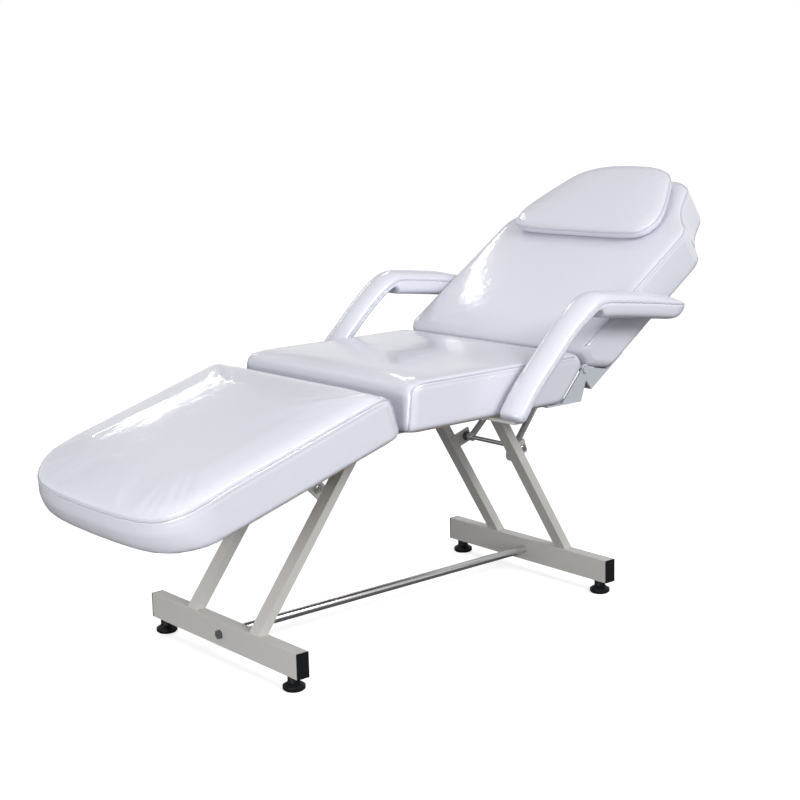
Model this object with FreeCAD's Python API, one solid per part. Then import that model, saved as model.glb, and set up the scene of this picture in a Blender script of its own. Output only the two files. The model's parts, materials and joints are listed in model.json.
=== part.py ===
import FreeCAD, Part
import math
import os

from FreeCAD import Vector

# An adjustable tattoo chair, in millimetres, with the back half raised and the leg rest hanging.
# +X runs towards the head end, +Y to the sitter's right, +Z up.
# The origin is on the floor under the middle of the chair.

# Fits
soft_gap = 0.3
running_clearance = 0.1
slot_clearance = 0.6
cut_overrun = 5.0

# Base bars, their caps and feet
bar_length = 547.0
bar_width = 30.0
bar_height = 55.0
tube_wall = 2.0
foot_height = 31.0
foot_bar_setback = 3.0
head_bar_setback = 3.2
cap_thickness = 3.0
cap_plug_depth = 12.0
foot_inset = 31.0
foot_sole_radius = 20.0
foot_sole_height = 3.0
foot_rim_radius = 23.5
foot_rim_height = 10.0
foot_neck_radius = 13.0
foot_neck_height = 17.0
foot_stud_radius = 5.0
foot_stud_length = 24.0
foot_travel = 12.0

# Tie rod between the bars
tie_rod_radius = 9.5
tie_bolt_radius = 5.0
tie_bolt_head_across = 18.0
tie_bolt_head_height = 7.0
tie_bolt_reach = 24.0

# Posts and seat frame
post_width = 35.0
post_depth = 20.0
post_centre_y = 118.0
foot_post_top_x = -217.44
foot_post_lean_share = 0.76
head_post_top_x = 169.59
head_post_lean_share = -0.61
frame_tube = 25.0
cross_tube_half_length = 198.0
seat_underside = 492.0
screw_head_across = 12.0
screw_head_height = 4.0

# Seat, back and leg pads
pad_width = 600.0
board_thickness = 15.0
board_inset = 12.0
pad_draw_in = 5.0
pad_crown = 10.0
pad_corner_radius = 24.0
seat_thickness = 104.0
seat_front_low_gap = 5.0
seat_front_top_gap = 16.0
seat_rear_low_setback = 79.0
seat_rear_top_setback = 57.0
back_thickness = 101.4
back_below_pivot = 51.6
back_length = 636.0
back_end_gap = 2.0
back_end_waist = 7.0
back_end_waist_height = 10.0
back_end_bevel = 70.0
leg_thickness = 106.7
leg_length = 600.0
leg_end_gap = 4.0
leg_tip_radius = 145.0
leg_tip_taper = 22.0
crown_shares = [(0.5, 0.025), (0.88, 0.1), (1.0, 0.28)]
corner_growth_share = 0.25
corner_limit_share = 0.9

# Outline of the back, as shares of its length and half width, with round shoulders
back_shoulder_shares = [
    (0.67, 1.0),
    (0.713, 0.965),
    (0.752, 0.88),
    (0.81, 0.785),
    (0.882, 0.713),
    (0.95, 0.64),
    (0.99, 0.43),
]

# Head pillow and its strap
pillow_start = 378.0
pillow_length = 262.0
pillow_half_width = 236.0
pillow_band = 13.0
pillow_crown = 22.0
pillow_foot_inset = 12.0
pillow_waist_share = 0.4
pillow_lift = 60.0
pillow_outline_shares = [
    (0.03, 0.75),
    (0.09, 0.96),
    (0.22, 1.0),
    (0.75, 0.68),
    (0.92, 0.48),
    (0.98, 0.25),
]

# Back hinge, at the sides of the gap between seat and back
back_pivot_x = 297.0
back_pivot_rise = 69.0
back_angle = 34.15
back_angle_up = 70.0
back_angle_down = 0.0
hinge_plate = 4.0
hinge_plate_outer_y = 291.0
hinge_boss_radius = 11.0
hinge_bolt_radius = 5.0
hinge_bolt_head_radius = 9.0
hinge_bolt_head_height = 4.0
hinge_flange = 40.0
seat_plate_length = 108.0
seat_plate_tail = 14.0
back_plate_lip = 8.0
back_plate_setback = 12.0
back_plate_length = 120.0

# Leg hinges, under the gap between seat and leg rest
leg_pivot_x = -245.0
leg_angle = -16.4
leg_angle_up = 0.0
leg_angle_down = -45.0
knuckle_radius = 5.5
leg_pin_radius = 3.0
leaf_thickness = 3.0
leaf_length = 44.0
leaf_width = 60.0
leg_hinge_y = 232.0
knuckle_count = 3
knuckle_gap = 0.4

# Struts that hold the back and the leg rest
rod_radius = 5.5
rod_overhang = 11.0
rod_nut_across = 17.0
rod_nut_height = 6.0
ear_width = 34.0
ear_thickness = 5.0
ear_tip = 15.0
collar_radius = 11.0
collar_length = 10.0
strut_eye_radius = 9.5
strut_eye_length = 16.0
strut_width = 10.0
strut_depth = 12.0
strut_top_radius = 8.5
strut_top_y = 42.0
strut_bar_radius = 5.0
head_rack_y = 62.0
foot_rack_y = 73.0
rack_plate_thickness = 4.0
rack_rim = 9.0
rack_flange = 22.0
rack_notch_depth = 4.0
rack_notch_count = 5
rack_screw_inset = 30.0
path_steps = 4
tilt_step = 0.01
head_rod_setback = 16.65
head_rod_drop = 210.0
head_strut_length = 340.0
head_strut_angle = 46.2
head_strut_ratio = 0.62
foot_rod_setback = 84.24
foot_rod_drop = 124.5
foot_strut_length = 200.0
foot_strut_angle = 7.6
foot_strut_ratio = 1.66
head_ear_root = 33.0
head_ear_slope = 18.0
foot_ear_root = 28.0
foot_ear_slope = 45.0

# Armrests
arm_centre_y = 348.0
arm_half_width = 40.0
arm_dome = 33.0
arm_top_dome = 25.0
arm_slope_depth = 14.0
arm_top_depth = 38.0
arm_steel_width = 30.0
arm_steel_thickness = 6.0
arm_foot_x = 6.0
arm_foot_rise = 2.0
arm_reach = 533.0
arm_rise = 232.0
arm_tab_length = 26.0
arm_tab_inner_y = 150.0
arm_screw_inset = 25.0
arm_screw_spacing = 80.0
# Each station has its shares of reach and rise, its slope in degrees, and its shares of
# half width, dome height and depth
arm_station_shares = [
    (0.000, 0.000, 49.0, 0.80, 0.60, 0.50),
    (0.025, 0.063, 48.0, 1.00, 1.00, 1.00),
    (0.248, 0.644, 43.0, 1.00, 1.00, 1.00),
    (0.409, 0.928, 28.0, 1.00, 1.00, 1.00),
    (0.508, 1.000, -2.0, 1.00, 1.00, 1.00),
    (0.892, 0.933, -4.6, 1.00, 1.00, 1.00),
    (0.966, 0.918, -4.6, 0.88, 0.85, 0.76),
    (1.000, 0.909, -4.6, 0.52, 0.45, 0.40),
]
arm_bevel_share = 0.35
arm_elbow_station = 3
arm_steel_last_station = 5

# Worked out from the sizes above
bar_low = foot_height
bar_top = bar_low + bar_height
half_bar = bar_length / 2
half_pad = pad_width / 2
frame_low = seat_underside - frame_tube
seat_seam = seat_underside + seat_thickness
leg_pivot_z = seat_underside - knuckle_radius
back_pivot_z = seat_underside + back_pivot_rise
back_under = -back_below_pivot
back_seam = back_thickness - back_below_pivot
leg_under = knuckle_radius
leg_seam = leg_under + leg_thickness
ear_inner_y = post_centre_y - post_width / 2 - ear_thickness


foot_post_base_x = foot_post_top_x - foot_post_lean_share * (frame_low - bar_top)
head_post_base_x = head_post_top_x - head_post_lean_share * (frame_low - bar_top)
foot_end_bar_x = foot_post_base_x - foot_bar_setback
head_end_bar_x = head_post_base_x - head_bar_setback
head_rod_x = back_pivot_x - head_rod_setback
head_rod_z = back_pivot_z - head_rod_drop
foot_rod_x = leg_pivot_x - foot_rod_setback
foot_rod_z = leg_pivot_z - foot_rod_drop


# Plain shapes
def block(low, high):
    size = Vector(*high) - Vector(*low)
    return Part.makeBox(size.x, size.y, size.z, Vector(*low))


def slab(points, y_low, y_high):
    """A plate in the XZ plane from its corner points."""
    corners = [Vector(x, y_low, z) for x, z in points]
    wire = Part.makePolygon(corners + corners[:1])
    return Part.Face(wire).extrude(Vector(0, y_high - y_low, 0))


def disc_y(x, z, radius, y_low, y_high):
    return Part.makeCylinder(radius, y_high - y_low, Vector(x, y_low, z), Vector(0, 1, 0))


def disc_z(x, y, radius, z_low, z_high):
    return Part.makeCylinder(radius, z_high - z_low, Vector(x, y, z_low), Vector(0, 0, 1))


def disc_x(y, z, radius, x_low, x_high):
    return Part.makeCylinder(radius, x_high - x_low, Vector(x_low, y, z), Vector(1, 0, 0))


def hexagon(centre, axis, across, height):
    """A hexagon head or nut that starts at centre and grows along axis."""
    radius = across / math.sqrt(3)
    corners = []
    for side in range(6):
        turn = math.radians(60 * side)
        corners.append(Vector(radius * math.cos(turn), radius * math.sin(turn), 0))
    head = Part.Face(Part.makePolygon(corners + corners[:1])).extrude(Vector(0, 0, height))
    head.Placement = FreeCAD.Placement(centre, FreeCAD.Rotation(Vector(0, 0, 1), axis))
    return head


def bored_y(shape, x, z, radius, y_low, y_high):
    """A hole along Y, with running clearance, through a piece between two faces."""
    return shape.cut(disc_y(x, z, radius + running_clearance, y_low - cut_overrun, y_high + cut_overrun))


def bored_x(shape, z, radius, x_low, x_high):
    """The same along X, in the middle plane."""
    return shape.cut(disc_x(0, z, radius + running_clearance, x_low - cut_overrun, x_high + cut_overrun))


def group(shapes):
    return Part.makeCompound(shapes)


def screw_head(x, y, z):
    """A hexagon head that bears on the underside at height z."""
    return hexagon(Vector(x, y, z), Vector(0, 0, -1), screw_head_across, screw_head_height)


def sided(y_one, y_two, side):
    """Low and high Y of a piece given for the right side."""
    low, high = sorted((side * y_one, side * y_two))
    return low, high


# Frames of the moving pieces
def turned(shape, pivot_x, pivot_z, angle):
    """From a frame with X along the piece to the chair, at an angle above level."""
    piece = shape.copy()
    piece.rotate(Vector(0, 0, 0), Vector(0, 1, 0), -angle)
    piece.translate(Vector(pivot_x, 0, pivot_z))
    return piece


def on_back(shape):
    return turned(shape, back_pivot_x, back_pivot_z, back_angle)


def mirrored(shape, pivot_x, pivot_z, angle):
    """As turned, for a piece that points to the foot end."""
    piece = shape.copy()
    piece.rotate(Vector(0, 0, 0), Vector(0, 1, 0), -angle)
    piece = piece.mirror(Vector(0, 0, 0), Vector(1, 0, 0))
    piece.translate(Vector(pivot_x, 0, pivot_z))
    return piece


def on_leg(shape):
    return mirrored(shape, leg_pivot_x, leg_pivot_z, leg_angle)


# Base
def base_bar(x):
    low_x = x - bar_width / 2
    high_x = x + bar_width / 2
    outer = block((low_x, -half_bar, bar_low), (high_x, half_bar, bar_top))
    inner = block(
        (low_x + tube_wall, -half_bar - cut_overrun, bar_low + tube_wall),
        (high_x - tube_wall, half_bar + cut_overrun, bar_top - tube_wall),
    )
    bar = outer.cut(inner)
    hole_radius = foot_stud_radius + running_clearance
    for y in foot_places():
        bar = bar.cut(disc_z(x, y, hole_radius, bar_low - cut_overrun, bar_low + cut_overrun))
    return bored_x(bar, tie_rod_z(), tie_bolt_radius, low_x, high_x)


def foot_places():
    return (-half_bar + foot_inset, half_bar - foot_inset)


def tie_rod_z():
    return bar_low + bar_height / 2


def end_caps():
    caps = []
    for x in (foot_end_bar_x, head_end_bar_x):
        for side in (-1, 1):
            y_low, y_high = sided(half_bar, half_bar + cap_thickness, side)
            plate = block((x - bar_width / 2, y_low, bar_low), (x + bar_width / 2, y_high, bar_top))
            y_low, y_high = sided(half_bar - cap_plug_depth, half_bar, side)
            margin = tube_wall + running_clearance
            plug = block(
                (x - bar_width / 2 + margin, y_low, bar_low + margin),
                (x + bar_width / 2 - margin, y_high, bar_top - margin),
            )
            caps.append(plate.fuse(plug))
    return group(caps)


def levelling_foot(x, y):
    """A moulded disc under a flared neck, turned in one piece round its stud."""
    hub_top = bar_low - soft_gap
    profile = [
        Vector(0, 0, 0),
        Vector(foot_sole_radius, 0, 0),
        Vector(foot_sole_radius, 0, foot_sole_height),
        Vector(foot_rim_radius, 0, foot_sole_height),
        Vector(foot_rim_radius, 0, foot_rim_height),
        Vector(foot_neck_radius, 0, foot_neck_height),
        Vector(foot_neck_radius, 0, hub_top),
        Vector(foot_stud_radius, 0, hub_top),
        Vector(foot_stud_radius, 0, hub_top + foot_stud_length),
        Vector(0, 0, hub_top + foot_stud_length),
    ]
    face = Part.Face(Part.makePolygon(profile + profile[:1]))
    foot = face.revolve(Vector(0, 0, 0), Vector(0, 0, 1), 360)
    foot.translate(Vector(x, y, 0))
    return foot


def tie_rod():
    low_x = foot_end_bar_x + bar_width / 2
    high_x = head_end_bar_x - bar_width / 2
    rod = disc_x(0, tie_rod_z(), tie_rod_radius, low_x, high_x)
    hole_radius = tie_bolt_radius + running_clearance
    low_hole = disc_x(0, tie_rod_z(), hole_radius, low_x - cut_overrun, low_x + tie_bolt_reach)
    high_hole = disc_x(0, tie_rod_z(), hole_radius, high_x - tie_bolt_reach, high_x + cut_overrun)
    return rod.cut(low_hole).cut(high_hole)


def tie_bolts():
    bolts = []
    for x, outward in ((foot_end_bar_x, -1), (head_end_bar_x, 1)):
        face_x = x + outward * bar_width / 2
        centre = Vector(face_x, 0, tie_rod_z())
        head = hexagon(centre, Vector(outward, 0, 0), tie_bolt_head_across, tie_bolt_head_height)
        inner_x = face_x - outward * (bar_width + tie_bolt_reach - cut_overrun)
        low_x, high_x = sorted((face_x, inner_x))
        bolts.append(head.fuse(disc_x(0, tie_rod_z(), tie_bolt_radius, low_x, high_x)))
    return group(bolts)


# Posts and seat frame
def leaning_post(base_x, top_x, lean_share, side):
    """A rectangular tube from the bar's top to the seat frame, cut level at both ends."""
    half_cut = post_depth / 2 * math.hypot(1, lean_share)
    half_hollow = (post_depth / 2 - tube_wall) * math.hypot(1, lean_share)
    inner_y = post_centre_y - post_width / 2
    outer_y = post_centre_y + post_width / 2

    def prism(half, y_one, y_two):
        y_low, y_high = sided(y_one, y_two, side)
        corners = [
            (base_x - half, bar_top),
            (base_x + half, bar_top),
            (top_x + half, frame_low),
            (top_x - half, frame_low),
        ]
        return slab(corners, y_low, y_high)

    inner = prism(half_hollow, inner_y + tube_wall, outer_y - tube_wall)
    return prism(half_cut, inner_y, outer_y).cut(inner)


def square_tube(low, high, along):
    """A square tube between two corners, open at both ends along X or Y."""
    outer = block(low, high)
    inset = Vector(tube_wall, tube_wall, tube_wall) - along * (tube_wall + cut_overrun)
    inner = block(Vector(*low) + inset, Vector(*high) - inset)
    return outer.cut(inner)


def cross_tube(x):
    half = frame_tube / 2
    low = (x - half, -cross_tube_half_length, frame_low)
    high = (x + half, cross_tube_half_length, seat_underside)
    return square_tube(low, high, Vector(0, 1, 0))


def seat_rail(side):
    y_low, y_high = sided(post_centre_y - frame_tube / 2, post_centre_y + frame_tube / 2, side)
    low = (foot_post_top_x + frame_tube / 2, y_low, frame_low)
    high = (head_post_top_x - frame_tube / 2, y_high, seat_underside)
    return square_tube(low, high, Vector(1, 0, 0))


def seat_screws():
    """Screws up through the two cross tubes."""
    heads = []
    for x in (foot_post_top_x, head_post_top_x):
        for side in (-1, 1):
            y = side * (cross_tube_half_length - frame_tube)
            heads.append(screw_head(x, y, frame_low))
    return group(heads)


# Outlines of the pads, each at one height
def arc_edge(start, middle, end):
    return Part.Arc(start, middle, end).toShape()


def rounded_outline(x_low, x_high, half_width, low_radius, high_radius, z):
    def corner(x, y, radius, start):
        points = []
        for turn in (start, start + 45, start + 90):
            angle = math.radians(turn)
            points.append(Vector(x + radius * math.cos(angle), y + radius * math.sin(angle), z))
        return arc_edge(*points)

    low_x = x_low + low_radius
    high_x = x_high - high_radius
    low_y = half_width - low_radius
    high_y = half_width - high_radius
    edges = [
        Part.makeLine(Vector(x_low, low_y, z), Vector(x_low, -low_y, z)),
        corner(low_x, -low_y, low_radius, 180),
        Part.makeLine(Vector(low_x, -half_width, z), Vector(high_x, -half_width, z)),
        corner(high_x, -high_y, high_radius, 270),
        Part.makeLine(Vector(x_high, -high_y, z), Vector(x_high, high_y, z)),
        corner(high_x, high_y, high_radius, 0),
        Part.makeLine(Vector(high_x, half_width, z), Vector(low_x, half_width, z)),
        corner(low_x, low_y, low_radius, 90),
    ]
    return Part.Wire(edges)


def slab_outline(low_radius, high_radius):
    """Outline of a pad with round corners, which soften as the crown rises."""

    def outline(z, inset, x_low, x_high, half_width):
        limit = corner_limit_share * min(half_width - inset, (x_high - x_low) / 2 - inset)
        growth = corner_growth_share * inset
        return rounded_outline(
            x_low + inset,
            x_high - inset,
            half_width - inset,
            min(low_radius + growth, limit),
            min(high_radius + growth, limit),
            z,
        )

    return outline


def back_outline(z, inset, x_low, x_high, half_width):
    """Full width to the shoulders, then a narrower head end with a round top."""
    start = x_low + inset
    middle = (x_low + x_high) / 2
    keep = 1 - inset / (x_high - middle)
    width = half_width - inset
    radius = pad_corner_radius

    def at(share_x, share_y, side):
        return Vector(middle + (share_x * x_high - middle) * keep, side * share_y * width, z)

    right = [at(x, y, 1) for x, y in back_shoulder_shares]
    left = [at(x, y, -1) for x, y in back_shoulder_shares]
    tip = at(1, 0, 1)
    diagonal = radius * (1 - math.sqrt(0.5))

    def low_corner(side):
        first = Vector(start, side * (width - radius), z)
        middle = Vector(start + diagonal, side * (width - diagonal), z)
        last = Vector(start + radius, side * width, z)
        return first, middle, last

    left_corner = low_corner(-1)
    right_corner = low_corner(1)
    edges = [
        Part.makeLine(right_corner[0], left_corner[0]),
        arc_edge(*left_corner),
        Part.makeLine(left_corner[2], left[0]),
        arc_edge(*left[0:3]),
        arc_edge(*left[2:5]),
        arc_edge(*left[4:7]),
        arc_edge(left[6], tip, right[6]),
        arc_edge(*right[6:3:-1]),
        arc_edge(*right[4:1:-1]),
        arc_edge(*right[2::-1]),
        Part.makeLine(right[0], right_corner[2]),
        arc_edge(*right_corner[::-1]),
    ]
    return Part.Wire(edges)


def pillow_outline(z, inset, x_low, x_high, half_width):
    """A rounded shape, wide at the neck and narrow at the crown of the head."""
    start = x_low + inset
    length = x_high - x_low - 2 * inset
    width = half_width - inset

    def at(share_x, share_y, side):
        return Vector(start + share_x * length, side * share_y * width, z)

    right = [at(x, y, 1) for x, y in pillow_outline_shares]
    left = [at(x, y, -1) for x, y in pillow_outline_shares]
    edges = [
        arc_edge(right[0], at(0, 0, 1), left[0]),
        arc_edge(*left[0:3]),
        Part.makeLine(left[2], left[3]),
        arc_edge(*left[3:6]),
        arc_edge(left[5], at(1, 0, 1), right[5]),
        arc_edge(*right[5:2:-1]),
        Part.makeLine(right[3], right[2]),
        arc_edge(*right[2::-1]),
    ]
    return Part.Wire(edges)


def padded_block(outline, side_levels, crown, half_width):
    """Sides that draw in between base and seam, under a crowned top."""
    levels = [outline(z, inset, x_low, x_high, half_width) for z, inset, x_low, x_high in side_levels]
    seam_z, seam_inset, x_low, x_high = side_levels[-1]
    smaller_half = min(half_width, (x_high - x_low) / 2)
    for rise_share, inset_share in crown_shares:
        inset = seam_inset + inset_share * smaller_half
        levels.append(outline(seam_z + rise_share * crown, inset, x_low, x_high, half_width))
    return Part.makeLoft(levels, True, True)


def board(outline, z_low, x_low, x_high, half_width, gap):
    wire = outline(z_low - gap, board_inset - gap, x_low, x_high, half_width)
    return Part.Face(wire).extrude(Vector(0, 0, board_thickness + 2 * gap))


# Seat
def seat_span():
    low = leg_pivot_x + seat_front_low_gap
    high = back_pivot_x - seat_rear_low_setback
    top_low = leg_pivot_x + seat_front_top_gap
    top_high = back_pivot_x - seat_rear_top_setback
    return low, high, top_low, top_high


def seat_board(gap=0.0):
    low, high, _, _ = seat_span()
    return board(slab_outline(pad_corner_radius, pad_corner_radius), seat_underside, low, high, half_pad, gap)


def seat_cushion():
    low, high, top_low, top_high = seat_span()
    levels = [
        (seat_underside, 0, low, high),
        (seat_underside + seat_thickness / 2, pad_draw_in, (low + top_low) / 2, (high + top_high) / 2),
        (seat_seam, 0, top_low, top_high),
    ]
    outline = slab_outline(pad_corner_radius, pad_corner_radius)
    cushion = padded_block(outline, levels, pad_crown, half_pad)
    return cushion.cut(seat_board(soft_gap))


# Back
def back_board(gap=0.0):
    return board(back_outline, back_under, back_end_bevel, back_length, half_pad, gap)


def back_cushion():
    levels = [
        (back_under, 0, back_end_bevel, back_length),
        (back_end_waist_height, pad_draw_in, back_end_waist - pad_draw_in, back_length),
        (back_seam, 0, back_end_gap, back_length),
    ]
    cushion = padded_block(back_outline, levels, pad_crown, half_pad)
    return cushion.cut(back_board(soft_gap))


# Leg rest
def leg_board(gap=0.0):
    outline = slab_outline(pad_corner_radius, leg_tip_radius)
    return board(outline, leg_under, leg_end_gap, leg_length - leg_tip_taper, half_pad, gap)


def leg_cushion():
    outline = slab_outline(pad_corner_radius, leg_tip_radius)
    levels = [
        (leg_under, 0, leg_end_gap, leg_length - leg_tip_taper),
        (leg_under + leg_thickness / 2, pad_draw_in, leg_end_gap, leg_length - leg_tip_taper / 2),
        (leg_seam, 0, leg_end_gap, leg_length),
    ]
    cushion = padded_block(outline, levels, pad_crown, half_pad)
    return cushion.cut(leg_board(soft_gap))


# Head pillow
def head_pillow():
    base = back_seam + pad_crown + soft_gap
    x_high = pillow_start + pillow_length
    levels = [
        (base, pillow_foot_inset, pillow_start, x_high),
        (base + pillow_band / 2, pillow_waist_share * pillow_foot_inset, pillow_start, x_high),
        (base + pillow_band, 0, pillow_start, x_high),
    ]
    return padded_block(pillow_outline, levels, pillow_crown, pillow_half_width)


# Back hinge plates
def seat_hinge_plate(side):
    """A flange under the seat and a web that rises to the pivot."""
    outer = hinge_plate_outer_y
    y_low, y_high = sided(outer - hinge_plate, outer, side)
    foot_z = seat_underside - hinge_plate
    web_low_x = back_pivot_x - seat_rear_low_setback + soft_gap
    web_high_x = back_pivot_x - seat_plate_tail
    web = slab(
        [
            (web_low_x, foot_z),
            (web_high_x, foot_z),
            (back_pivot_x + hinge_boss_radius, back_pivot_z),
            (back_pivot_x - hinge_boss_radius, back_pivot_z),
        ],
        y_low,
        y_high,
    )
    boss = disc_y(back_pivot_x, back_pivot_z, hinge_boss_radius, y_low, y_high)
    y_flange_low, y_flange_high = sided(outer - hinge_flange, outer, side)
    flange = block(
        (web_high_x - seat_plate_length, y_flange_low, foot_z),
        (web_high_x, y_flange_high, seat_underside),
    )
    plate = web.fuse(boss).fuse(flange)
    return bored_y(plate, back_pivot_x, back_pivot_z, hinge_bolt_radius, y_low, y_high)


def back_hinge_plate(side):
    """A flange under the back and a web that reaches down from the pivot to it."""
    outer = hinge_plate_outer_y - hinge_plate - soft_gap
    y_low, y_high = sided(outer - hinge_plate, outer, side)
    foot_z = back_under - hinge_plate
    half_boss = hinge_boss_radius * math.sqrt(0.5)
    web = slab(
        [
            (-back_plate_lip, foot_z),
            (back_end_bevel - back_plate_setback, foot_z),
            (back_end_bevel - back_plate_setback, back_under - soft_gap),
            (half_boss, 0),
            (-hinge_boss_radius, 0),
        ],
        y_low,
        y_high,
    )
    boss = disc_y(0, 0, hinge_boss_radius, y_low, y_high)
    y_flange_low, y_flange_high = sided(outer - hinge_flange, outer, side)
    flange_low = (-back_plate_lip, y_flange_low, foot_z)
    flange_high = (back_plate_length, y_flange_high, back_under)
    flange = block(flange_low, flange_high)
    return on_back(bored_y(web.fuse(boss).fuse(flange), 0, 0, hinge_bolt_radius, y_low, y_high))


def back_hinge_bolts():
    """A round-headed bolt through each pair of plates, with its nut inside."""
    bolts = []
    outer = hinge_plate_outer_y
    inner = outer - 2 * hinge_plate - soft_gap
    for side in (-1, 1):
        y_low, y_high = sided(inner - hinge_bolt_head_height, outer, side)
        shank = disc_y(back_pivot_x, back_pivot_z, hinge_bolt_radius, y_low, y_high)
        y_low, y_high = sided(outer, outer + hinge_bolt_head_height, side)
        head = disc_y(back_pivot_x, back_pivot_z, hinge_bolt_head_radius, y_low, y_high)
        centre = Vector(back_pivot_x, side * (inner - soft_gap), back_pivot_z)
        nut = hexagon(centre, Vector(0, -side, 0), 2 * hinge_bolt_head_radius, hinge_bolt_head_height)
        bolts.append(shank.fuse(head).fuse(nut))
    return group(bolts)


# Leg hinges
def knuckle_places(centre_y, wanted):
    """Low and high Y of every second knuckle, the outer ones or the inner one."""
    pitch = leaf_width / knuckle_count
    for number in range(knuckle_count):
        if (number % 2 == 0) == wanted:
            low = centre_y - leaf_width / 2 + number * pitch
            yield low + knuckle_gap / 2, low + pitch - knuckle_gap / 2


def hinge_leaf(centre_y, outer_knuckles):
    """A leaf under a board, with the pin's axis at the origin. The outer knuckles hold the pin."""
    y_low = centre_y - leaf_width / 2
    y_high = centre_y + leaf_width / 2
    leaf = block(
        (knuckle_radius + knuckle_gap, y_low, knuckle_radius - leaf_thickness),
        (leaf_length, y_high, knuckle_radius),
    )
    for low, high in knuckle_places(centre_y, outer_knuckles):
        arm = block((0, low, knuckle_radius - leaf_thickness), (leaf_length, high, knuckle_radius))
        leaf = leaf.fuse(arm).fuse(disc_y(0, 0, knuckle_radius, low, high))
    if outer_knuckles:
        return leaf.fuse(disc_y(0, 0, leg_pin_radius, y_low, y_high))
    return leaf.cut(disc_y(0, 0, leg_pin_radius + running_clearance, y_low, y_high))


def leg_hinge_seat_leaves():
    leaves = []
    for side in (-1, 1):
        leaves.append(turned(hinge_leaf(side * leg_hinge_y, True), leg_pivot_x, leg_pivot_z, 0))
    return group(leaves)


def leg_hinge_leg_leaves():
    leaves = []
    for side in (-1, 1):
        leaves.append(on_leg(hinge_leaf(side * leg_hinge_y, False)))
    return group(leaves)


# Ears and rods that carry the struts
def strut_ear(rod_x, rod_z, towards, root, slope, side):
    """A flat bar on a post's inner face, squared at the tip and round at the root."""
    y_low, y_high = sided(ear_inner_y, ear_inner_y + ear_thickness, side)
    half = ear_width / 2
    bar = block((-root, y_low, -half), (ear_tip, y_high, half))
    bar = bar.fuse(disc_y(-root, 0, half, y_low, y_high))
    bar = bored_y(bar, 0, 0, rod_radius, y_low, y_high)
    if towards > 0:
        return turned(bar, rod_x, rod_z, slope)
    return mirrored(bar, rod_x, rod_z, slope)


def strut_rod(rod_x, rod_z):
    """A rod through both ears, with a nut on each end."""
    ear_outer_y = ear_inner_y + ear_thickness
    half = ear_outer_y + rod_overhang
    rod = disc_y(rod_x, rod_z, rod_radius, -half, half)
    for side in (-1, 1):
        centre = Vector(rod_x, side * (ear_outer_y + soft_gap), rod_z)
        rod = rod.fuse(hexagon(centre, Vector(0, side, 0), rod_nut_across, rod_nut_height))
    return rod


def rod_collars(rod_x, rod_z):
    """A collar beside each ear keeps the strut in place."""
    collars = []
    for side in (-1, 1):
        outer_y = ear_inner_y - soft_gap
        y_low, y_high = sided(outer_y - collar_length, outer_y, side)
        ring = disc_y(rod_x, rod_z, collar_radius, y_low, y_high)
        collars.append(bored_y(ring, rod_x, rod_z, rod_radius, y_low, y_high))
    return group(collars)


def strut_foot_y():
    return ear_inner_y - soft_gap - collar_length - soft_gap - strut_eye_length / 2


# Strut frames, drawn with the rod at the origin and the strut along X
def strut_leg(length, side):
    """A leg from its eye on the rod to the bar at the top, leaning in as it rises."""
    foot_y = strut_foot_y()
    half = strut_width / 2
    corners = [
        Vector(0, side * (foot_y - half), -strut_depth / 2),
        Vector(0, side * (foot_y + half), -strut_depth / 2),
        Vector(length, side * (strut_top_y + half), -strut_depth / 2),
        Vector(length, side * (strut_top_y - half), -strut_depth / 2),
    ]
    leg = Part.Face(Part.makePolygon(corners + corners[:1])).extrude(Vector(0, 0, strut_depth))
    y_low, y_high = sided(foot_y - strut_eye_length / 2, foot_y + strut_eye_length / 2, side)
    eye = disc_y(0, 0, strut_eye_radius, y_low, y_high)
    top_low, top_high = sided(strut_top_y - half, strut_top_y + half, side)
    top = disc_y(length, 0, strut_top_radius, top_low, top_high)
    leg = leg.fuse(eye).fuse(top)
    leg = bored_y(leg, 0, 0, rod_radius, y_low, y_high)
    return bored_y(leg, length, 0, strut_bar_radius, top_low, top_high)


def strut_bar(length, rack_y):
    half = rack_y + rack_plate_thickness + strut_bar_radius
    return disc_y(length, 0, strut_bar_radius, -half, half)


# Notched racks that the bars ride in, drawn in the frame of the back or the leg rest
def bar_place(strut, tilt, offset):
    """Where a strut's bar lies in its panel's frame at a tilt, moved off its path by offset."""

    def centre(angle):
        swing = math.radians(strut["angle"] + strut["ratio"] * (angle - strut["rest"]))
        x = strut["rod"][0] + strut["length"] * math.cos(swing) - strut["pivot"][0]
        z = strut["rod"][1] + strut["length"] * math.sin(swing) - strut["pivot"][1]
        turn = math.radians(angle)
        return Vector(x * math.cos(turn) + z * math.sin(turn), 0, z * math.cos(turn) - x * math.sin(turn))

    along = (centre(tilt - tilt_step) - centre(tilt + tilt_step)).normalize()
    return centre(tilt) + Vector(-along.z, 0, along.x) * offset


def path_places(strut, offset):
    """Evenly spaced places from the bar's low end to its high end."""
    step = (strut["high"] - strut["low"]) / path_steps
    return [bar_place(strut, strut["high"] - step * number, offset) for number in range(path_steps + 1)]


def path_arcs(places):
    """Two arcs through five places."""
    return [arc_edge(*places[0:3]), arc_edge(*places[2:5])]


def slot_end(strut, tilt, half, outward):
    """The round end of a slot, past the place of the bar at that tilt."""
    above = bar_place(strut, tilt, half)
    below = bar_place(strut, tilt, -half)
    across = (above - below).normalize()
    beyond = (above + below) / 2 + Vector(across.z, 0, -across.x) * (half * outward)
    return arc_edge(above, beyond, below)


def extruded(edges, y_low, y_high):
    face = Part.Face(Part.Wire(Part.__sortEdges__(edges)))
    plate = face.extrude(Vector(0, y_high - y_low, 0))
    plate.translate(Vector(0, y_low, 0))
    return plate


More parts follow.
